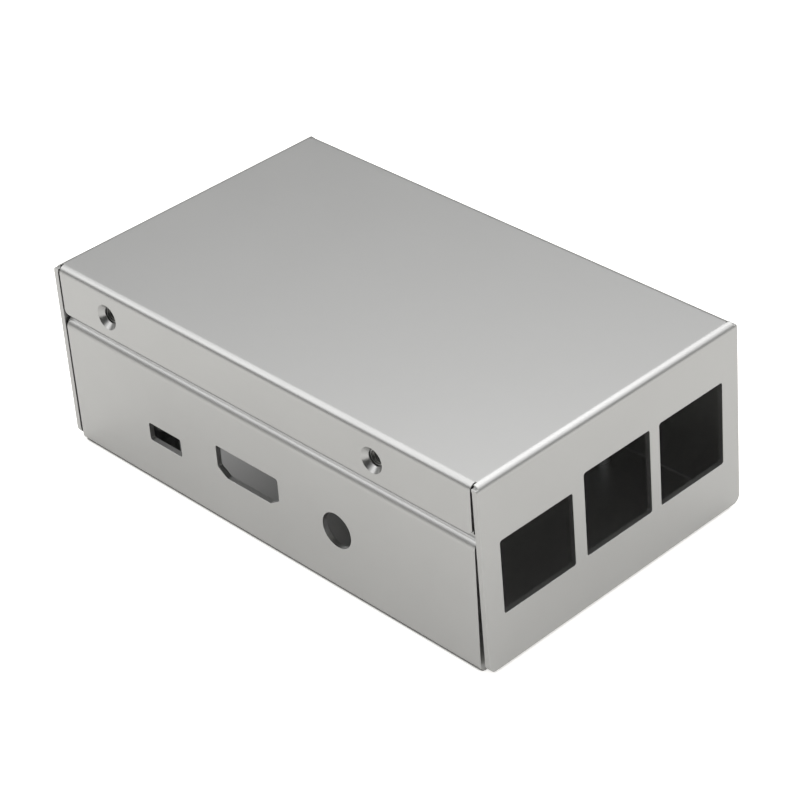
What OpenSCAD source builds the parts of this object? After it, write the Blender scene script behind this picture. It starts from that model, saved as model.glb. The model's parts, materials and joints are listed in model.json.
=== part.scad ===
// Folded aluminium case for a credit-card-size single-board computer.
// A tray, folded into a floor and two long walls, carries the board on four pressed-in standoffs.
// A cover, folded into a top, two end walls and two short flanges, drops over the tray.
// The tray's walls step inwards near the top, so the flanges lie flush with the walls below them.
// Frame: X along the case, towards the end with three ports; -Y is the long side with three small
// ports; Z is up, with 0 at the underside of the tray. The origin is midway between the end walls' feet.
// The modules below measure from the middle of the top, and placed() moves their result to that origin.

/* [Case] */
// Length over the end walls, measured at the top
case_l = 101.5; // [94:0.5:140]
// Width over the long walls
case_w = 61; // [60:0.5:80]
// Height from the underside of the tray to the top of the cover
case_h = 36.2; // [34:0.1:60]
// Thickness of the folded sheet
sheet_t = 1; // [0.8:0.1:1.2]
// Inside radius of the folds
bend_r = 0.3; // [0.2:0.1:0.8]

/* [Cover] */
// Height of the side flanges, from the top of the cover
flange_h = 9.4; // [9:0.05:11]
// Radius of the flanges' lower corners
flange_corner_r = 1; // [0.2:0.1:2]
// Slit between a flange's end and the end wall
flange_slit = 0.45; // [0.3:0.05:1]
// Width of the slit where it goes on over the folds, up to the top
bend_slit = 0.3; // [0.2:0.05:0.4]
// Width of the notches that part an end wall's fold from the flanges
notch_w = 0.6; // [0.5:0.1:1.3]
// Drop of the end walls' upper corners below the top
notch_h = 0.6; // [0.5:0.1:2]
// Height of the end walls' lower edges above the underside of the tray
end_lift = 0.7; // [0.5:0.1:2]
// Radius of the end walls' lower corners
end_corner_r = 1.5; // [0.3:0.1:4]
// Angle by which the end wall with the ports springs outwards
port_end_splay = 1.6; // [0.1:0.1:2]
// Angle by which the plain end wall springs outwards
plain_end_splay = 0.2; // [0.1:0.1:2]

/* [Tray] */
// Gap between the tray and the end wall with the ports, below the fold
tray_port_gap = 0.1; // [0.05:0.05:0.5]
// Gap between the tray and the plain end wall, below the fold
tray_plain_gap = 0.4; // [0.1:0.05:0.5]
// Gap between the tray's upper tabs and the cover's flanges
tab_fit = 0.2; // [0.05:0.05:0.3]
// Gap between the step in the tray's walls and the flanges' lower edges
seam_gap = 0.8; // [0.1:0.05:1.3]
// Inside radius of the two folds of the step
joggle_r = 0.8; // [0.4:0.05:1]
// Radius of the wall's corners at the ends of the step
step_corner_r = 0.3; // [0.2:0.1:1]
// Length by which the tabs stop short of the tray's ends
tab_short = 1.2; // [0.5:0.1:3]
// Radius of the tabs' upper corners
tab_corner_r = 1.5; // [0.3:0.1:3]
// Gap between the tabs and the underside of the top
tab_top_gap = 0.5; // [0.2:0.1:1]

/* [Board] */
// Length of the board that the case is made for
board_l = 85; // [80:0.5:88]
// Thickness of the board
board_t = 1.5; // [1:0.1:2]
// Gap between the board and the end wall with the ports
board_end_gap = 0.4; // [0.3:0.05:2]
// Gap between the board and the long wall with the ports
board_side_gap = 1.15; // [0.3:0.05:1.5]
// Gap between the board and the plain long wall
board_rear_gap = 1.85; // [0.5:0.05:3]
// Distance of the board's fixing holes from its edges
board_hole_inset = 3.5; // [3:0.1:4]
// Spacing of the fixing holes along the case
board_hole_dx = 58; // [50:0.5:70]
// Height of the standoffs' seats above the underside of the tray
standoff_h = 8; // [6:0.5:10]
// Diameter of the standoffs
standoff_d = 4.2; // [3.6:0.1:5]
// Width across the flats of the standoffs' pressed-in heads
standoff_head_w = 4.8; // [4.5:0.1:5.6]
// Thickness of the standoffs' heads
standoff_head_t = 0.6; // [0.4:0.1:0.7]
// Chamfer round the standoffs' seats
standoff_chamfer = 0.25; // [0.1:0.05:0.5]

/* [Ports] */
// Radius of the corners of the ports
port_corner_r = 0.5; // [0.2:0.1:0.8]

/* [Long-side ports] */
// Power port's centre, from the board's far edge
power_at = 10.6; // [9:0.1:12]
// Width of the power port
power_w = 8.4; // [7.5:0.1:10]
// Height of the power port
power_h = 3.6; // [3:0.1:4.5]
// Height of the power port's centre above the board
power_up = 1.4; // [0.8:0.1:2]
// Video port's centre, from the board's far edge
video_at = 32; // [30:0.1:34]
// Width of the video port
video_w = 15.4; // [15:0.1:18]
// Height of the video port
video_h = 5.9; // [5.5:0.1:8]
// Height of the video port's centre above the board
video_up = 3.6; // [3:0.1:5]
// Width of the video port's chamfered lower corners
video_chamfer_w = 2.3; // [1:0.1:3]
// Height of the video port's chamfered lower corners
video_chamfer_h = 1.5; // [1:0.1:3]
// Audio port's centre, from the board's far edge
audio_at = 53.6; // [52:0.1:56]
// Diameter of the audio port
audio_d = 6.7; // [6:0.1:8]
// Height of the audio port's centre above the board
audio_up = 2.9; // [2.5:0.1:4]

/* [End ports] */
// Network port's centre, from the board's front edge
network_at = 10.2; // [10:0.05:10.6]
// Width of the network port
network_w = 16.5; // [15.5:0.1:17]
// Height of the network port
network_h = 13.9; // [13:0.1:16]
// Height of the network port's centre above the board
network_up = 7.8; // [7.5:0.1:9]
// First data port's centre, from the board's front edge
data_1_at = 29; // [28:0.1:29.5]
// Second data port's centre, from the board's front edge
data_2_at = 47; // [46.5:0.1:47.5]
// Width of the data ports
data_w = 15.7; // [14.5:0.1:17]
// Height of the data ports
data_h = 16; // [15:0.1:17]
// Height of the data ports' centres above the board
data_up = 9; // [8.5:0.1:10]

/* [Cover fixings] */
// Distance of the first fixing from the plain end
fixing_from_plain_end = 13.5; // [8:0.1:30]
// Distance of the second fixing from the end with the ports
fixing_from_port_end = 23.1; // [8:0.1:40]
// Distance of the fixings from the top of the cover
fixing_drop = 5.4; // [5:0.1:5.8]
// Diameter of the countersinks at the surface
countersink_d = 4.8; // [4:0.1:4.8]
// Diameter of the clearance holes in the flanges
clearance_d = 3; // [2.9:0.1:3.4]
// Outer diameter of the threads in the tabs and the standoffs
tapped_d = 2.5; // [2:0.05:2.6]
// Diameter of the collars drawn round the tapped holes
collar_d = 3.6; // [3.2:0.1:4.5]
// Height of the collars behind the tabs
collar_h = 0.9; // [0.4:0.1:1.5]

/* [Hidden] */
$fn = 64;
// Overshoot of the cutting shapes past the faces that they cut
past = 1;
// Overlap of a folded leg with the flat that it grows from
lap = 1;
// Straight pieces that make up each rounded fold
arc_steps = 14;
// Straight pieces that make up each rounded corner of a port
corner_steps = 5;

// Folds of the sheet
fold_r = sheet_t + bend_r;
end_drop = case_h - fold_r - end_lift;
flange_l = case_l - 2 * (sheet_t + flange_slit);
tray_l = case_l - 2 * sheet_t - tray_port_gap - tray_plain_gap;
tray_mid_x = (tray_plain_gap - tray_port_gap) / 2;

// How far out an end wall's foot is from the middle of the top, and the middle between the two feet
function foot_x(splay) = case_l / 2 - fold_r + fold_r * cos(splay) + end_drop * tan(splay);
mid_x = (foot_x(port_end_splay) - foot_x(plain_end_splay)) / 2;

// The step: two equal and opposite folds that carry the tab in by one sheet and the fit
step_in = sheet_t + tab_fit;
step_r = sheet_t + joggle_r;
step_sum_r = step_r + joggle_r;
step_angle = acos(1 - step_in / step_sum_r);
step_top_z = case_h - flange_h - seam_gap;
step_foot_z = step_top_z - step_sum_r * sin(step_angle);
tab_face_y = case_w / 2 - step_in;
tab_top_z = case_h - sheet_t - tab_top_gap;
tab_l = tray_l - 2 * tab_short;

// The board's place, which sets the standoffs and all the ports
board_far_x = case_l / 2 - sheet_t - board_end_gap - board_l;
board_front_y = -case_w / 2 + sheet_t + board_side_gap;
board_rear_y = case_w / 2 - sheet_t - board_rear_gap;
board_top_z = standoff_h + board_t;
standoff_xs = [for (i = [0, 1]) board_far_x + board_hole_inset + i * board_hole_dx];
standoff_ys = [board_front_y + board_hole_inset, board_rear_y - board_hole_inset];
standoff_spots = [for (y = standoff_ys, x = standoff_xs) [x, y]];

// The cover's fixings
fixing_xs = [-case_l / 2 + fixing_from_plain_end, case_l / 2 - fixing_from_port_end];
fixing_z = case_h - fixing_drop;
countersink_h = (countersink_d - clearance_d) / 2;

// Points along an arc, from angle a0 to angle a1
function arc(centre, r, a0, a1, steps = arc_steps) =
    [for (i = [0:steps]) let (a = a0 + (a1 - a0) * i / steps) centre + r * [cos(a), sin(a)]];

// Direction from one point to another, as an angle
function bearing(a, b) = atan2(b.y - a.y, b.x - a.x);

// Points of an outline with each corner rounded; the corners are given clockwise
function rounded(points, r) = [
    for (i = [0:len(points) - 1]) let (
        here = points[i],
        from = bearing(points[(i + len(points) - 1) % len(points)], here),
        turn = (from - bearing(here, points[(i + 1) % len(points)]) + 360) % 360,
        start = here - r * tan(turn / 2) * [cos(from), sin(from)],
        centre = start + r * [sin(from), -cos(from)]
    ) each arc(centre, r, from + 90, from + 90 - turn, corner_steps)
];

// The same points on the other side of the Y axis, in reverse
function flip(points) = [for (i = [len(points) - 1:-1:0]) [-points[i].x, points[i].y]];

// Section of a flat leg, a fold about the origin and a hanging leg that leans outwards by an angle
module fold_section(drop, lean) {
    down = drop * [tan(lean), -1];
    foot = [for (r = [fold_r, bend_r]) r * [cos(lean), sin(lean)] + down];
    polygon(concat([[-lap, fold_r]], arc([0, 0], fold_r, 90, lean), foot,
                   arc([0, 0], bend_r, lean, 90), [[-lap, bend_r]]));
}

// Waste outside a rounded corner whose arc has its centre at the origin and faces +X +Y
module corner_waste(r) {
    difference() {
        square(r + past);
        circle(r);
    }
}

// Waste outside a pair of rounded corners, at +w/2 and -w/2, at height z.
// Upper corners have up = 1, lower ones up = -1.
module corner_pair_waste(w, z, r, up) {
    for (side = [0, 1]) mirror([side, 0])
        translate([w / 2 - r, z - up * r]) scale([1, up]) corner_waste(r);
}

// Rectangle with rounded corners, centred at a place in a wall
module port(at, z, w, h) {
    half = [w, h] / 2;
    translate([at, z]) polygon(rounded([[-half.x, half.y], half, [half.x, -half.y], -half], port_corner_r));
}

// Video port: a rectangle with its lower corners cut off
module video_outline() {
    half_w = video_w / 2;
    half_h = video_h / 2;
    polygon(rounded([
        [-half_w, half_h], [half_w, half_h],
        [half_w, video_chamfer_h - half_h], [half_w - video_chamfer_w, -half_h],
        [video_chamfer_w - half_w, -half_h], [-half_w, video_chamfer_h - half_h]
    ], port_corner_r));
}

// The three ports of the end wall, in the wall's own plane
module end_ports() {
    port(board_front_y + network_at, board_top_z + network_up, network_w, network_h);
    for (at = [data_1_at, data_2_at])
        port(board_front_y + at, board_top_z + data_up, data_w, data_h);
}

// The three ports of the tray's front wall, in the wall's own plane
module front_ports() {
    port(board_far_x + power_at, board_top_z + power_up, power_w, power_h);
    translate([board_far_x + video_at, board_top_z + video_up]) video_outline();
    translate([board_far_x + audio_at, board_top_z + audio_up]) circle(d = audio_d);
}

// Waste of the end walls, in their plane: the notches beside the fold, the rounded corners and the ports
module end_waste(with_ports) {
    for (side = [0, 1]) mirror([side, 0])
        translate([case_w / 2 - notch_w, case_h - notch_h]) square([notch_w + past, notch_h + past]);
    corner_pair_waste(case_w, end_lift, end_corner_r, -1);
    if (with_ports) end_ports();
}

// Waste of the slits over an end wall's fold, in plan
module bend_slit_waste() {
    start_x = case_l / 2 - fold_r - lap - past;
    for (side = [0, 1]) mirror([0, side])
        translate([start_x, case_w / 2 - fold_r])
            square([flange_l / 2 + bend_slit - start_x, fold_r + past]);
}

// End wall and its fold on the +X side, with the wall sprung outwards
module end_wall(with_ports, splay) {
    difference() {
        translate([case_l / 2 - fold_r, 0, case_h - fold_r]) rotate([90, 0, 0])
            linear_extrude(case_w, center = true) fold_section(end_drop, splay);
        translate([case_l / 2 - fold_r - lap - past, 0, 0]) rotate([90, 0, 90])
            linear_extrude(foot_x(splay) - case_l / 2 + fold_r + lap + 2 * past) end_waste(with_ports);
        translate([0, 0, case_h - fold_r]) linear_extrude(fold_r + past) bend_slit_waste();
    }
}

// Countersunk clearance hole along Y, entering a face at Y = 0 from +Y
module countersunk_hole() {
    rotate([90, 0, 0]) {
        translate([0, 0, -past])
            cylinder(d1 = countersink_d + 2 * past, d2 = clearance_d, h = countersink_h + past);
        cylinder(d = clearance_d, h = sheet_t + past);
    }
}

// Side flange and its fold on the +Y side
module flange() {
    difference() {
        translate([0, case_w / 2 - fold_r, case_h - fold_r]) rotate([90, 0, 90])
            linear_extrude(flange_l, center = true) fold_section(flange_h - fold_r, 0);
        translate([0, case_w / 2 + past, 0]) rotate([90, 0, 0]) linear_extrude(sheet_t + 2 * past)
            corner_pair_waste(flange_l, case_h - flange_h, flange_corner_r, -1);
        for (x = fixing_xs) translate([x, case_w / 2, fixing_z]) countersunk_hole();
    }
}

// Cover: top, two end walls and two flanges, folded from one sheet
module cover() color("#bcbcb9") {
    flat = [case_l - 2 * fold_r, case_w - 2 * fold_r];
    translate([-flat.x / 2, -flat.y / 2, case_h - sheet_t]) cube([flat.x, flat.y, sheet_t]);
    end_wall(true, port_end_splay);
    mirror([1, 0, 0]) end_wall(false, plain_end_splay);
    for (side = [0, 1]) mirror([0, side, 0]) flange();
}

// Section of the tray: the faces of the right half, outside and inside, and the same mirrored
module tray_section() {
    fold_centre = [case_w / 2 - fold_r, fold_r];
    step_centre = [case_w / 2 - step_r, step_foot_z];
    tab_centre = step_centre + step_sum_r * [cos(step_angle), sin(step_angle)];
    outside = concat(arc(fold_centre, fold_r, -90, 0), arc(step_centre, step_r, 0, step_angle),
                     arc(tab_centre, joggle_r, 180 + step_angle, 180), [[tab_face_y, tab_top_z]]);
    inside = concat([[tab_face_y - sheet_t, tab_top_z]], arc(tab_centre, step_r, 180, 180 + step_angle),
                    arc(step_centre, joggle_r, step_angle, 0), arc(fold_centre, bend_r, 0, -90));
    polygon(concat(outside, inside, flip(inside), flip(outside)));
}

// Waste at the ends of the tabs and of the steps, in the plane of the walls
module tab_waste() {
    for (end = [0, 1]) mirror([end, 0])
        translate([tab_l / 2, step_top_z]) square([tab_short + past, tab_top_z - step_top_z + past]);
    corner_pair_waste(tray_l, step_top_z, step_corner_r, 1);
    corner_pair_waste(tab_l, tab_top_z, tab_corner_r, 1);
}

// Collars drawn inwards from the middle of the tabs, round the tapped holes
module tab_collars() {
    for (side = [0, 1], x = fixing_xs) mirror([0, side, 0])
        translate([x, tab_face_y - sheet_t / 2, fixing_z]) rotate([90, 0, 0])
            cylinder(d = collar_d, h = sheet_t / 2 + collar_h);
}

// Tapped holes through the tabs and their collars
module tapped_holes() {
    for (side = [0, 1], x = fixing_xs) mirror([0, side, 0])
        translate([x, tab_face_y + past, fixing_z]) rotate([90, 0, 0])
            cylinder(d = tapped_d, h = sheet_t + collar_h + 2 * past);
}

// Six-sided head of a standoff, flush with the underside of the tray
module standoff_head() {
    rotate([0, 0, 30]) cylinder(d = standoff_head_w / cos(30), h = standoff_head_t, $fn = 6);
}

// Seats pressed into the floor by the standoffs
module standoff_seats() {
    for (spot = standoff_spots) translate(spot) {
        standoff_head();
        cylinder(d = standoff_d, h = sheet_t);
    }
}

// Tray: floor, two stepped walls and their tabs, folded from one sheet
module tray() color("#b2b2af") difference() {
    union() {
        translate([tray_mid_x, 0, 0]) rotate([90, 0, 90]) linear_extrude(tray_l, center = true) tray_section();
        tab_collars();
    }
    translate([tray_mid_x, 0, 0]) rotate([90, 0, 0]) linear_extrude(case_w + 2 * past, center = true)
        tab_waste();
    translate([0, past - case_w / 2 + sheet_t, 0]) rotate([90, 0, 0])
        linear_extrude(sheet_t + 2 * past) front_ports();
    tapped_holes();
    standoff_seats();
}

// Standoff: pressed-in head and threaded pillar, at its spot in the floor
module standoff(spot) color("#c8c8c4") translate(spot) difference() {
    union() {
        standoff_head();
        cylinder(d = standoff_d, h = standoff_h - standoff_chamfer);
        translate([0, 0, standoff_h - standoff_chamfer])
            cylinder(d1 = standoff_d, d2 = standoff_d - 2 * standoff_chamfer, h = standoff_chamfer);
    }
    translate([0, 0, -past]) cylinder(d = tapped_d, h = standoff_h + 2 * past);
}

// The case's own frame, which has its origin below the middle between the end walls' feet
module placed() translate([-mid_x, 0, 0]) children();

placed() tray();
placed() cover();
placed() standoff(standoff_spots[0]);  // standoff_front_left
placed() standoff(standoff_spots[1]);  // standoff_front_right
placed() standoff(standoff_spots[2]);  // standoff_rear_left
placed() standoff(standoff_spots[3]);  // standoff_rear_right
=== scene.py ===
"""Looks of a folded aluminium case for a single-board computer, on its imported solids.

The sheets, folds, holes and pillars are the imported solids. This script gives them their finishes, winds the
threads that the solids leave out, and sets the studio and the camera. Named lengths are in millimetres, and
Blender's own are in metres.
"""

import json
import logging
import math
from dataclasses import dataclass, field
from enum import Enum

import bpy
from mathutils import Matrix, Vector

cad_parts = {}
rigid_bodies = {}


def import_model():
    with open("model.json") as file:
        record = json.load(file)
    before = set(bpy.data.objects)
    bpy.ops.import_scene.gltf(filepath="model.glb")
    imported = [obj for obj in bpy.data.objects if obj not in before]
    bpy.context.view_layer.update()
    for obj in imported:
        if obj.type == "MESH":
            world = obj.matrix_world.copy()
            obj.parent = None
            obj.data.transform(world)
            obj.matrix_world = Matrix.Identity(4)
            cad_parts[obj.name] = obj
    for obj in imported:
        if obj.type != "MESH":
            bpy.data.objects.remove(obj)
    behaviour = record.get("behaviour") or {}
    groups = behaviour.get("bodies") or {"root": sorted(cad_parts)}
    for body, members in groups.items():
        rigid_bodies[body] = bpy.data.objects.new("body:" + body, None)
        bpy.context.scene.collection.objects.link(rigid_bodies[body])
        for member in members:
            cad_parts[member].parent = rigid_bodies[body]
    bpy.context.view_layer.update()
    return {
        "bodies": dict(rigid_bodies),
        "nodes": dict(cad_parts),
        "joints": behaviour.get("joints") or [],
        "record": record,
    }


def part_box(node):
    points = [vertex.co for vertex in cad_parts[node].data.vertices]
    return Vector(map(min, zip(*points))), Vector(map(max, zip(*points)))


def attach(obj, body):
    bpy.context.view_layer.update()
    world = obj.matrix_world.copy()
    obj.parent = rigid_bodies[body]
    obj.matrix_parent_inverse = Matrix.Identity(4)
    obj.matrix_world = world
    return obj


LOG = logging.getLogger("folded_case")
MM = 0.001


class Slot(Enum):
    """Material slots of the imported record."""

    SHEET = "satin_aluminium"
    PILLAR = "plated_steel"


class Run(Enum):
    """Ways that a tapped hole runs from its foot to its mouth, each as a turn of the upward axis."""

    UP = (0.0, 0.0, 0.0)
    FORWARDS = (math.pi / 2, 0.0, 0.0)
    BACKWARDS = (-math.pi / 2, 0.0, 0.0)


def linear(colour: str) -> tuple[float, float, float, float]:
    """Turn an sRGB hex colour into linear light.

    Args:
        colour: Colour as a hash and six hex digits.

    Returns:
        Red, green, blue and alpha for a colour socket.
    """
    parts = [int(colour[i:i + 2], 16) / 255 for i in (1, 3, 5)]
    red, green, blue = (p / 12.92 if p <= 0.04045 else ((p + 0.055) / 1.055) ** 2.4 for p in parts)
    return red, green, blue, 1.0


def add_node(
    tree: bpy.types.NodeTree, kind: str, inputs: dict | None = None, **settings: object
) -> bpy.types.Node:
    """Add a node with its settings, and fill or link its inputs.

    Args:
        tree: Node tree that gets the node.
        kind: Blender's name for the kind of node.
        inputs: For an input's name or number, a value or the output socket that feeds it.
        **settings: Properties of the node.

    Returns:
        The new node.
    """
    node = tree.nodes.new(kind)
    for name, value in settings.items():
        setattr(node, name, value)
    for key, value in (inputs or {}).items():
        if isinstance(value, bpy.types.NodeSocket):
            tree.links.new(value, node.inputs[key])
        else:
            node.inputs[key].default_value = value
    return node


def empty_material(name: str) -> bpy.types.Material:
    """Make a material with no nodes in its tree.

    Args:
        name: The material's name.

    Returns:
        The material.
    """
    material = bpy.data.materials.new(name)
    material.use_nodes = True
    material.node_tree.nodes.clear()
    return material


def deselect() -> None:
    """Leave nothing selected, so that an operator acts only on what comes next."""
    bpy.ops.object.select_all(action="DESELECT")


def pick(piece: bpy.types.Object) -> None:
    """Select one piece alone and make it active.

    Args:
        piece: The piece to work on.
    """
    deselect()
    piece.select_set(True)
    bpy.context.view_layer.objects.active = piece


def sight_rays(tree: bpy.types.NodeTree) -> tuple[bpy.types.NodeSocket, bpy.types.NodeSocket]:
    """Tell rays that look at a thing, directly or in a mirror, from rays that carry its light.

    Args:
        tree: Tree of a material or of the world.

    Returns:
        Socket that is 1 for camera rays, and one that is 1 for glossy and transmission rays.
    """
    path = add_node(tree, "ShaderNodeLightPath")
    mirrored = add_node(tree, "ShaderNodeMath", {
        0: path.outputs["Is Glossy Ray"], 1: path.outputs["Is Transmission Ray"]}, operation="MAXIMUM")
    return path.outputs["Is Camera Ray"], mirrored.outputs[0]


def wear(node: bpy.types.Object, material: bpy.types.Material) -> None:
    """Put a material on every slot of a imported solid.

    Args:
        node: The solid's object.
        material: Its finish.
    """
    for slot in node.material_slots:
        slot.material = material


def hand_over(piece: bpy.types.Object, material: bpy.types.Material) -> None:
    """Give a new piece its finish and let it ride on the case.

    Args:
        piece: The new piece.
        material: Its finish.
    """
    piece.data.materials.clear()
    piece.data.materials.append(material)
    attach(piece, "root")
    LOG.info("%s: %s, %d faces", piece.name, material.name, len(piece.data.polygons))


@dataclass(frozen=True)
class BlastedAluminium:
    """Aluminium sheet, cut, blasted with fine grit and folded, then countersunk, tapped and clear anodised.

    The blasting gives the eye soft, wide reflections with hardly any grain, on the cut edges as on the
    faces, and a slightly uneven haze where the sheet was handled. The holes keep the cutter's smoother
    rings, which mirror the room more sharply.
    """

    name: str
    # Middle of the pair of holes along the wall, their half spacing and the reach of the cutter
    hole_mid: tuple[float, float]
    hole_half_spacing: float
    cut_r: float
    cut_from_y: float
    cut: str
    face: str = "#c3c3c2"
    haze: str = "#bfbfbe"
    face_rough: float = 0.375
    haze_rough: float = 0.395
    cut_rough: float = 0.30
    # Grit marks are 0.05 mm across, drawn coarser so that they show as a faint grain
    grit: float = 0.25
    haze_patch: float = 16.0
    # Values of the haze's noise where the sheet is clean, and where it is fully hazed
    haze_span: tuple[float, float] = (0.3, 0.7)
    # Rings of the countersink's cutter, drawn coarser than the real 0.05 mm for the same reason
    ring: float = 0.18
    edge_round: float = 0.12
    # Depth of the grit and the rings, and the share of it that shows
    relief_depth: float = 0.006
    relief_share: float = 0.35

    def material(self) -> bpy.types.Material:
        """Build the sheet's material.

        Returns:
            The material, with its masks on Object coordinates.
        """
        material = empty_material(self.name)
        tree = material.node_tree
        place = add_node(tree, "ShaderNodeTexCoord").outputs["Object"]
        cut, radius = self._cut_mask(tree, place)

        haze = add_node(tree, "ShaderNodeTexNoise", {
            "Vector": place, "Scale": 1 / (self.haze_patch * MM), "Detail": 3.0, "Roughness": 0.55})
        tone = add_node(tree, "ShaderNodeMix", {
            0: haze.outputs["Fac"], 6: linear(self.face), 7: linear(self.haze)}, data_type="RGBA")
        tone = add_node(tree, "ShaderNodeMix", {
            0: cut, 6: tone.outputs[2], 7: linear(self.cut)}, data_type="RGBA")

        rough = add_node(tree, "ShaderNodeMapRange", {
            "Value": haze.outputs["Fac"], "From Min": self.haze_span[0], "From Max": self.haze_span[1],
            "To Min": self.face_rough, "To Max": self.haze_rough})
        rough = add_node(tree, "ShaderNodeMix", {
            0: cut, 2: rough.outputs[0], 3: self.cut_rough}, data_type="FLOAT")

        grit = add_node(tree, "ShaderNodeTexNoise", {
            "Vector": place, "Scale": 1 / (self.grit * MM), "Detail": 2.0, "Roughness": 0.6})
        turns = add_node(tree, "ShaderNodeMath", {
            0: radius, 1: 2 * math.pi / (self.ring * MM)}, operation="MULTIPLY")
        rings = add_node(tree, "ShaderNodeMath", {0: turns.outputs[0]}, operation="SINE")
        relief = add_node(tree, "ShaderNodeMix", {
            0: cut, 2: grit.outputs["Fac"], 3: rings.outputs[0]}, data_type="FLOAT")
        rounded = add_node(tree, "ShaderNodeBevel", {"Radius": self.edge_round * MM}, samples=6)
        normal = add_node(tree, "ShaderNodeBump", {
            "Strength": self.relief_share, "Distance": self.relief_depth * MM,
            "Height": relief.outputs[0], "Normal": rounded.outputs[0]})

        shader = add_node(tree, "ShaderNodeBsdfPrincipled", {
            "Base Color": tone.outputs[2], "Metallic": 1.0, "Roughness": rough.outputs[0],
            "Normal": normal.outputs[0]})
        add_node(tree, "ShaderNodeOutputMaterial", {"Surface": shader.outputs[0]})
        return material

    def _cut_mask(
        self, tree: bpy.types.NodeTree, place: bpy.types.NodeSocket
    ) -> tuple[bpy.types.NodeSocket, bpy.types.NodeSocket]:
        """Find the cut metal inside the fixing holes.

        Args:
            tree: The material's tree.
            place: Object coordinates.

        Returns:
            Socket that is 1 on the cut metal, and the distance from the nearest hole's axis.
        """
        x, z = self.hole_mid
        off = add_node(tree, "ShaderNodeVectorMath", {
            0: place, 1: (x * MM, 0, z * MM)}, operation="SUBTRACT")
        off = add_node(tree, "ShaderNodeVectorMath", {0: off.outputs[0]}, operation="ABSOLUTE")
        off = add_node(tree, "ShaderNodeVectorMath", {
            0: off.outputs[0], 1: (self.hole_half_spacing * MM, 0, 0)}, operation="SUBTRACT")
        off = add_node(tree, "ShaderNodeVectorMath", {
            0: off.outputs[0], 1: (1, 0, 1)}, operation="MULTIPLY")
        radius = add_node(
            tree, "ShaderNodeVectorMath", {0: off.outputs[0]}, operation="LENGTH").outputs["Value"]
        near = add_node(tree, "ShaderNodeMath", {0: radius, 1: self.cut_r * MM}, operation="LESS_THAN")
        at = add_node(tree, "ShaderNodeSeparateXYZ", {0: place})
        out = add_node(tree, "ShaderNodeMath", {0: at.outputs["Y"]}, operation="ABSOLUTE")
        in_wall = add_node(tree, "ShaderNodeMath", {
            0: out.outputs[0], 1: self.cut_from_y * MM}, operation="GREATER_THAN")
        mask = add_node(tree, "ShaderNodeMath", {
            0: near.outputs[0], 1: in_wall.outputs[0]}, operation="MULTIPLY")
        return mask.outputs[0], radius


@dataclass(frozen=True)
class ZincPlatedSteel:
    """Turned steel with a thin zinc plating.

    Turning leaves fine rings round the pillar, and the plating's thin film drifts from warm to bluish grey.
    """

    name: str = "Zinc-plated turned steel"
    # Tones darker than fresh zinc plating, which keeps the pillars dim inside the case: in part painted shade
    warm: str = "#9c9a94"
    cool: str = "#8f949a"
    rough: float = 0.50
    # Feed marks of the lathe, drawn coarser than the real 0.05 mm so that they show
    feed: float = 0.16
    film_patch: float = 2.5
    film_rough: float = 0.05
    # Depth of the feed marks, and the share of it that shows
    relief_depth: float = 0.003
    relief_share: float = 0.4

    def material(self) -> bpy.types.Material:
        """Build the plated steel's material.

        Returns:
            The material.
        """
        material = empty_material(self.name)
        tree = material.node_tree
        place = add_node(tree, "ShaderNodeTexCoord").outputs["Object"]
        film = add_node(tree, "ShaderNodeTexNoise", {
            "Vector": place, "Scale": 1 / (self.film_patch * MM), "Detail": 2.0})
        tone = add_node(tree, "ShaderNodeMix", {
            0: film.outputs["Fac"], 6: linear(self.warm), 7: linear(self.cool)}, data_type="RGBA")
        rough = add_node(tree, "ShaderNodeMapRange", {
            "Value": film.outputs["Fac"],
            "To Min": self.rough - self.film_rough, "To Max": self.rough + self.film_rough})
        at = add_node(tree, "ShaderNodeSeparateXYZ", {0: place})
        turns = add_node(tree, "ShaderNodeMath", {
            0: at.outputs["Z"], 1: 2 * math.pi / (self.feed * MM)}, operation="MULTIPLY")
        rings = add_node(tree, "ShaderNodeMath", {0: turns.outputs[0]}, operation="SINE")
        normal = add_node(tree, "ShaderNodeBump", {
            "Strength": self.relief_share, "Distance": self.relief_depth * MM,
            "Height": rings.outputs[0]})
        shader = add_node(tree, "ShaderNodeBsdfPrincipled", {
            "Base Color": tone.outputs[2], "Metallic": 1.0, "Roughness": rough.outputs[0],
            "Normal": normal.outputs[0]})
        add_node(tree, "ShaderNodeOutputMaterial", {"Surface": shader.outputs[0]})
        return material


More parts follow.
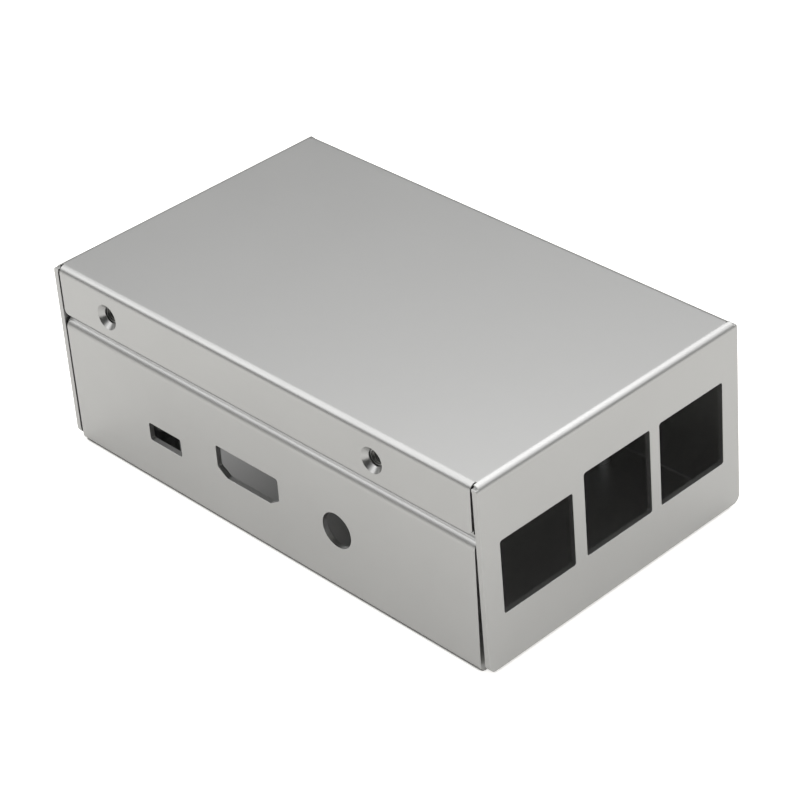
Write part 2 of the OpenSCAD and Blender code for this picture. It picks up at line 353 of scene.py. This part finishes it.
@dataclass(frozen=True)
class CutThread:
    """Tapped metal: flanks with fine drag lines and uneven roughness, in dark tones that are painted shade
    inside the hole.
    """

    name: str
    # Both tones are kept dark as painted shade inside the hole, and the drag lines mix them
    lighter_painted_shade: str
    darker_painted_shade: str
    # Roughness from the smoother flanks to the rougher ones
    rough: tuple[float, float] = (0.26, 0.40)
    drag: float = 0.3
    # Depth of the drag lines, and the share of it that shows
    relief_depth: float = 0.004
    relief_share: float = 0.3

    def material(self) -> bpy.types.Material:
        """Build the thread's material.

        Returns:
            The material.
        """
        material = empty_material(self.name)
        tree = material.node_tree
        place = add_node(tree, "ShaderNodeTexCoord").outputs["Object"]
        drag = add_node(tree, "ShaderNodeTexNoise", {
            "Vector": place, "Scale": 1 / (self.drag * MM), "Detail": 3.0})
        tone = add_node(tree, "ShaderNodeMix", {
            0: drag.outputs["Fac"], 6: linear(self.lighter_painted_shade), 7: linear(self.darker_painted_shade)}, data_type="RGBA")
        rough = add_node(tree, "ShaderNodeMapRange", {
            "Value": drag.outputs["Fac"], "To Min": self.rough[0], "To Max": self.rough[1]})
        normal = add_node(tree, "ShaderNodeBump", {
            "Strength": self.relief_share, "Distance": self.relief_depth * MM,
            "Height": drag.outputs["Fac"]})
        shader = add_node(tree, "ShaderNodeBsdfPrincipled", {
            "Base Color": tone.outputs[2], "Metallic": 1.0, "Roughness": rough.outputs[0],
            "Normal": normal.outputs[0]})
        add_node(tree, "ShaderNodeOutputMaterial", {"Surface": shader.outputs[0]})
        return material


@dataclass(frozen=True)
class WhitePaper:
    """Matt white paper under the case, white in the picture, with the case's shadow at its foot, deepened by
    a painted shadow along its edges.
    """

    name: str = "Matt white paper"
    sheet: str = "#f4f3f0"
    # Dark tone painted into the paper under the case's edges: a painted contact shadow
    under: str = "#5a5957"
    glow: str = "#fffefc"
    glow_seen: float = 0.7
    glow_mirrored: float = 0.19
    # Reach of the painted shadow under the case's edges
    painted_shade_reach: float = 1.6
    # Share of the sky that the paper sees where its painted shadow gives way to white, and where the white is
    # full
    shaded: float = 0.2
    free: float = 0.5
    fibre: float = 0.8
    # Depth of the fibres, and the share of it that shows
    relief_depth: float = 0.02
    relief_share: float = 0.05

    def material(self) -> bpy.types.Material:
        """Build the paper's material.

        Returns:
            The material. Its own white shows to the eye, less in mirrors, and not under the case's edges,
            where its colour is painted dark as shadow.
        """
        material = empty_material(self.name)
        tree = material.node_tree
        place = add_node(tree, "ShaderNodeTexCoord").outputs["Object"]
        fibre = add_node(tree, "ShaderNodeTexNoise", {"Vector": place, "Scale": 1 / (self.fibre * MM)})
        bump = add_node(tree, "ShaderNodeBump", {
            "Strength": self.relief_share, "Distance": self.relief_depth * MM,
            "Height": fibre.outputs["Fac"]})
        # Painted shadow: where the case's edges hide the paper's sky, its colour turns to the dark tone
        sky = add_node(tree, "ShaderNodeAmbientOcclusion", {"Distance": self.painted_shade_reach * MM}, samples=16)
        clear = add_node(tree, "ShaderNodeMapRange", {
            "Value": sky.outputs["AO"], "From Min": self.shaded, "From Max": self.free},
            interpolation_type="SMOOTHSTEP").outputs[0]
        tone = add_node(tree, "ShaderNodeMix", {
            0: clear, 6: linear(self.under), 7: linear(self.sheet)}, data_type="RGBA")
        paper = add_node(tree, "ShaderNodeBsdfDiffuse", {
            "Color": tone.outputs[2], "Normal": bump.outputs[0]})
        looked_at, mirrored = sight_rays(tree)
        mirrored = add_node(tree, "ShaderNodeMath", {
            0: mirrored, 1: self.glow_mirrored}, operation="MULTIPLY")
        shown = add_node(tree, "ShaderNodeMath", {
            0: looked_at, 1: self.glow_seen, 2: mirrored.outputs[0]}, operation="MULTIPLY_ADD")
        # The glow fades under the case's edges too, as part of the painted shadow
        strength = add_node(tree, "ShaderNodeMath", {
            0: shown.outputs[0], 1: clear}, operation="MULTIPLY")
        glow = add_node(tree, "ShaderNodeEmission", {
            "Color": linear(self.glow), "Strength": strength.outputs[0]})
        both = add_node(tree, "ShaderNodeAddShader", {0: paper.outputs[0], 1: glow.outputs[0]})
        add_node(tree, "ShaderNodeOutputMaterial", {"Surface": both.outputs[0]})
        return material


@dataclass(frozen=True)
class GreyCard:
    """Plain grey card round the set, which gives the metal a darker horizon to mirror."""

    name: str
    tone: str

    def material(self) -> bpy.types.Material:
        """Build the card's material.

        Returns:
            The material.
        """
        material = empty_material(self.name)
        tree = material.node_tree
        path = add_node(tree, "ShaderNodeLightPath")
        shader = add_node(tree, "ShaderNodeEmission", {
            "Color": linear(self.tone), "Strength": path.outputs["Is Glossy Ray"]})
        add_node(tree, "ShaderNodeOutputMaterial", {"Surface": shader.outputs[0]})
        return material


@dataclass
class FixingPair:
    """A row of fixing holes along a wall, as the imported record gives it."""

    middle: Vector
    half_spacing: float
    hole_r: float

    @classmethod
    def from_record(cls, record: dict, name: str) -> "FixingPair":
        """Read a row of holes from the record's mounts.

        Args:
            record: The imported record.
            name: The mount's name.

        Returns:
            The row, in millimetres.
        """
        mount = next(m for m in record["mounts"] if m["name"] == name)
        dims = mount["dims"]
        return cls(Vector(mount["pos_m"]) / MM, dims["spacing_x_mm"] / 2, dims["hole_r_mm"])

    def spots(self) -> dict[str, Vector]:
        """Give the two holes' places, by the end that they are near."""
        step = Vector((self.half_spacing, 0, 0))
        return {"left": self.middle - step, "right": self.middle + step}


@dataclass
class ThreadRidge:
    """Ridge of an M2.5 thread, which stands in from the wall of a hole that the solids leave plain.

    The solids' hole has the thread's outer diameter, and the ridge reaches in to the tap drill's.
    """

    outer_r: float
    depth: float
    height: float = 0.22
    pitch: float = 0.45
    root_w: float = 0.38
    crest_w: float = 0.10
    bite: float = 0.02
    steps: int = 28
    # Edges blunter than this are shaded smooth
    smooth_to: float = 40.0

    def wind(self, name: str) -> bpy.types.Object:
        """Wind the ridge round the Z axis, from the origin upwards.

        Args:
            name: Name of the piece.

        Returns:
            The piece, a closed mesh.
        """
        crest_x = (self.outer_r - self.height) * MM
        root_x = (self.outer_r + self.bite) * MM
        turns = int((self.depth - self.root_w) / self.pitch)
        first_z = (self.depth - turns * self.pitch) / 2 * MM
        deselect()
        bpy.ops.mesh.primitive_plane_add(size=self.root_w * MM, rotation=(math.pi / 2, 0, 0))
        piece = bpy.context.object
        piece.name = piece.data.name = name
        bpy.ops.object.transform_apply(location=True, rotation=True, scale=True)
        bpy.ops.transform.resize(value=((root_x - crest_x) / (self.root_w * MM), 1, 1))
        bpy.ops.transform.translate(value=((crest_x + root_x) / 2, 0, first_z))
        bpy.ops.object.transform_apply(location=True, rotation=True, scale=True)
        for point in piece.data.vertices:
            point.select = point.co.x < (crest_x + root_x) / 2
        bpy.ops.object.mode_set(mode="EDIT")
        bpy.ops.transform.resize(
            value=(1, 1, self.crest_w / self.root_w), center_override=(crest_x, 0, first_z))
        bpy.ops.object.mode_set(mode="OBJECT")
        screw = piece.modifiers.new("winding", "SCREW")
        screw.axis = "Z"
        screw.screw_offset = self.pitch * MM
        screw.iterations = turns
        screw.steps = screw.render_steps = self.steps
        bpy.ops.object.modifier_apply(modifier=screw.name)
        bpy.ops.object.mode_set(mode="EDIT")
        bpy.ops.mesh.select_all(action="SELECT")
        bpy.ops.mesh.fill_holes(sides=4)
        bpy.ops.mesh.select_all(action="SELECT")
        bpy.ops.mesh.normals_make_consistent(inside=False)
        bpy.ops.object.mode_set(mode="OBJECT")
        bpy.ops.object.shade_smooth_by_angle(angle=math.radians(self.smooth_to))
        return piece

    def copy_to(self, first: bpy.types.Object, name: str, foot: Vector, run: Run) -> bpy.types.Object:
        """Copy the wound ridge into a hole.

        Args:
            first: The ridge as wound.
            name: Name of the copy.
            foot: Where the hole starts on its axis, in millimetres.
            run: Way that the hole runs.

        Returns:
            The copy, with its own mesh and its place in it.
        """
        pick(first)
        bpy.ops.object.duplicate(linked=False)
        piece = bpy.context.object
        piece.name = piece.data.name = name
        piece.rotation_euler = run.value
        piece.location = foot * MM
        bpy.ops.object.transform_apply(location=True, rotation=True, scale=True)
        return piece


@dataclass
class SheetParts:
    """The cover and the tray, and the threads in the tray's tabs."""

    frame: dict
    front: FixingPair
    rear: FixingPair
    countersink_d: float = 4.8
    flange_inside_y: float = 29.4
    tab_depth: float = 1.9
    tab_inside_y: float = 27.3
    # Cut metal past the rim of a countersink, and of a tapped hole
    cone_spare: float = 0.04
    hole_spare: float = 0.05
    pieces: list[bpy.types.Object] = field(default_factory=list)

    def dress(self) -> None:
        """Give the two sheets their finishes."""
        holes = {"hole_mid": (self.front.middle.x, self.front.middle.z),
                 "hole_half_spacing": self.front.half_spacing}
        cover = BlastedAluminium(
            "Blasted anodised aluminium, cover", cut="#bdbdbc",
            cut_r=self.countersink_d / 2 + self.cone_spare, cut_from_y=self.flange_inside_y, **holes)
        # The tray's cut tone is much darker than its faces: painted shade inside the tapped holes of its tabs
        tray = BlastedAluminium(
            "Blasted anodised aluminium, tray", cut="#8a8a88",
            cut_r=self.front.hole_r + self.hole_spare, cut_from_y=self.tab_inside_y, **holes)
        for node, finish in (("cover", cover), ("tray", tray)):
            wear(self.frame["nodes"][node], finish.material())
            LOG.info("%s: %s", node, finish.name)

    def cut_threads(self) -> None:
        """Wind the threads of the tabs' holes, front and rear."""
        ridge = ThreadRidge(self.front.hole_r, self.tab_depth)
        # Dark thread tones: painted shade inside the tabs' holes
        finish = CutThread("Tapped aluminium", "#bcbcba", "#90908d").material()
        first = ridge.wind("thread_pattern")
        for side, row, run in (("front", self.front, Run.FORWARDS), ("rear", self.rear, Run.BACKWARDS)):
            for end, mouth in row.spots().items():
                foot = mouth - Vector((0, math.copysign(self.tab_depth, mouth.y), 0))
                piece = ridge.copy_to(first, f"thread_tab_{side}_{end}", foot, run)
                hand_over(piece, finish)
                self.pieces.append(piece)
        bpy.data.objects.remove(first)


@dataclass
class Pillars:
    """The four standoffs and their threads."""

    frame: dict
    pieces: list[bpy.types.Object] = field(default_factory=list)

    def dress(self) -> None:
        """Give the standoffs their plating."""
        finish = ZincPlatedSteel()
        material = finish.material()
        for name in self._names():
            wear(self.frame["nodes"][name], material)
            LOG.info("%s: %s", name, finish.name)

    def cut_threads(self) -> None:
        """Wind one thread in each standoff, over its whole height."""
        mount = next(m for m in self.frame["record"]["mounts"] if m["name"] == "board_standoffs")
        # Dark thread tones: painted shade inside the standoffs
        finish = CutThread("Tapped plated steel", "#94938e", "#6f6f6b").material()
        first: bpy.types.Object | None = None
        for name in self._names():
            low, high = (Vector(corner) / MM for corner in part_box(name))
            foot = Vector(((low.x + high.x) / 2, (low.y + high.y) / 2, low.z))
            ridge = ThreadRidge(mount["dims"]["hole_r_mm"], high.z - low.z)
            first = first or ridge.wind("thread_pattern")
            piece = ridge.copy_to(first, f"thread_{name}", foot, Run.UP)
            hand_over(piece, finish)
            self.pieces.append(piece)
        bpy.data.objects.remove(first)

    def _names(self) -> list[str]:
        """Give the names of the standoffs' solids."""
        return [name for name in self.frame["nodes"] if name.startswith("standoff_")]


@dataclass(frozen=True)
class Softbox:
    """A flat lamp with a soft, even front."""

    name: str
    at: tuple[float, float, float]
    aim: tuple[float, float, float]
    size: tuple[float, float]
    glow: float
    tint: str = "#ffffff"

    def build(self) -> None:
        """Hang the lamp where it stays out of the picture and shows in mirrors."""
        way = Vector(self.aim) - Vector(self.at)
        deselect()
        bpy.ops.object.light_add(
            type="AREA", location=Vector(self.at) * MM, rotation=way.to_track_quat("-Z", "Y").to_euler())
        lamp = bpy.context.object
        lamp.name = self.name
        lamp.data.shape = "RECTANGLE"
        lamp.data.size, lamp.data.size_y = (side * MM for side in self.size)
        lamp.data.energy = self.glow * math.pi * lamp.data.size * lamp.data.size_y
        lamp.data.color = linear(self.tint)[:3]
        lamp.visible_camera = False
        LOG.info("%s: %.0f by %.0f mm", self.name, *self.size)


@dataclass(frozen=True)
class Studio:
    """White paper under the case, soft lamps over it and grey card round the set."""

    floor_w: float = 8000.0
    ring_r: float = 1300.0
    ring_h: float = 600.0
    ring_sides: int = 96
    # Distance, bearing from +Y towards -X, width and height of the card that the top mirrors
    flag_away: float = 1200.0
    flag_bearing: float = 47.5
    flag_w: float = 2400.0
    flag_h: float = 860.0
    # The same for the dark front of the room, behind the camera
    front_away: float = 700.0
    front_bearing: float = 197.5
    front_w: float = 840.0
    front_h: float = 640.0
    paper: WhitePaper = WhitePaper()
    ring_card: GreyCard = GreyCard("Mid grey card", "#888887")
    flag_card: GreyCard = GreyCard("Dark grey card", "#7e7e7d")
    front_card: GreyCard = GreyCard("Black card", "#242424")
    # Strength of the white room as a light, and to the eye and in mirrors
    ambient: float = 0.70
    seen: float = 1.0
    lamps: tuple[Softbox, ...] = (
        # Two strips, which leave the sky over the case plain so that its top doesn't burn out from above
        Softbox("left_strip", (-800, 350, 1250), (-800, 350, 0), (400, 1300), 1.53),
        Softbox("back_strip", (50, 850, 1250), (50, 850, 0), (1300, 500), 2.03),
        Softbox("front_left_softbox", (-1325, -900, 1250), (-1325, -900, 0), (1350, 1200), 0.95),
        Softbox("rear_softbox", (900, 900, 1000), (150, 150, 0), (700, 700), 0.55),
        # Faint light inside the case
        Softbox("inside_fill", (-48.5, 4, 20), (0, 4, 20), (36, 20), 0.58),
    )

    def build(self) -> None:
        """Set up the paper, the cards, the lamps and the world."""
        deselect()
        bpy.ops.mesh.primitive_plane_add(size=self.floor_w * MM)
        floor = bpy.context.object
        floor.name = "paper_floor"
        floor.data.materials.append(self.paper.material())

        deselect()
        bpy.ops.mesh.primitive_cylinder_add(
            vertices=self.ring_sides, radius=self.ring_r * MM, depth=self.ring_h * MM,
            end_fill_type="NOTHING", location=(0, 0, self.ring_h / 2 * MM))
        self._hang(bpy.context.object, "card_ring", self.ring_card)

        flag_size, front_size = (self.flag_w, self.flag_h), (self.front_w, self.front_h)
        self._stand("card_flag", self.flag_away, self.flag_bearing, flag_size, self.flag_card)
        self._stand("card_front", self.front_away, self.front_bearing, front_size, self.front_card)

        for lamp in self.lamps:
            lamp.build()
        self._light_world()

    def _stand(
        self, name: str, away: float, bearing: float, size: tuple[float, float], finish: GreyCard
    ) -> None:
        """Stand a flat card on the floor, with its face to the case.

        Args:
            name: The card's name.
            away: Distance from the case.
            bearing: Direction from the case, in degrees from +Y towards -X.
            size: Width and height.
            finish: The card's finish.
        """
        width, height = size
        turn = math.radians(bearing)
        middle = Vector((-math.sin(turn) * away, math.cos(turn) * away, height / 2))
        deselect()
        bpy.ops.mesh.primitive_plane_add(size=1, location=middle * MM, rotation=(math.pi / 2, 0, turn))
        bpy.ops.transform.resize(value=(width * MM, height * MM, 1), orient_type="LOCAL")
        self._hang(bpy.context.object, name, finish)

    def _hang(self, card: bpy.types.Object, name: str, finish: GreyCard) -> None:
        """Name a card and let only mirrors see it.

        Args:
            card: The card's object.
            name: Its name.
            finish: Its finish.
        """
        card.name = name
        card.data.materials.append(finish.material())
        card.visible_camera = card.visible_diffuse = card.visible_shadow = False
        LOG.info("%s: %s", name, finish.name)

    def _light_world(self) -> None:
        """Make the world white to the eye and in mirrors, and dim as a light."""
        world = bpy.data.worlds.new("White room")
        bpy.context.scene.world = world
        world.use_nodes = True
        tree = world.node_tree
        tree.nodes.clear()
        looked_at, mirrored = sight_rays(tree)
        direct = add_node(tree, "ShaderNodeMath", {0: looked_at, 1: mirrored}, operation="MAXIMUM")
        strength = add_node(tree, "ShaderNodeMapRange", {
            "Value": direct.outputs[0], "To Min": self.ambient, "To Max": self.seen})
        shade = add_node(tree, "ShaderNodeBackground", {
            "Color": linear("#ffffff"), "Strength": strength.outputs[0]})
        add_node(tree, "ShaderNodeOutputWorld", {"Surface": shade.outputs[0]})


@dataclass(frozen=True)
class PictureCamera:
    """Camera at the picture's viewpoint, in front of the near corner and above it."""

    place: tuple[float, float, float] = (282.066, -256.371, 269.993)
    turn: tuple[float, float, float] = (56.0971, 3.3763, 45.3123)
    lens: float = 120.192
    sensor: float = 36.0
    nearest: float = 10.0

    def build(self) -> None:
        """Make the camera and give it to the scene."""
        deselect()
        bpy.ops.object.camera_add(
            location=Vector(self.place) * MM, rotation=[math.radians(angle) for angle in self.turn])
        camera = bpy.context.object
        camera.name = "picture_camera"
        camera.data.lens = self.lens
        camera.data.sensor_width = self.sensor
        camera.data.clip_start = self.nearest * MM
        bpy.context.scene.camera = camera
        bpy.context.scene.view_settings.view_transform = "Standard"
        LOG.info("camera: %.1f mm lens", self.lens)


def main() -> None:
    """Load the solids, dress them, and set the studio and the camera."""
    logging.basicConfig(level=logging.INFO, format="%(message)s")
    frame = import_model()
    PictureCamera().build()
    front = FixingPair.from_record(frame["record"], "cover_fixings_front")
    rear = FixingPair.from_record(frame["record"], "cover_fixings_rear")
    for part in (SheetParts(frame, front, rear), Pillars(frame)):
        part.dress()
        part.cut_threads()
    Studio().build()


if __name__ == "__main__":
    main()
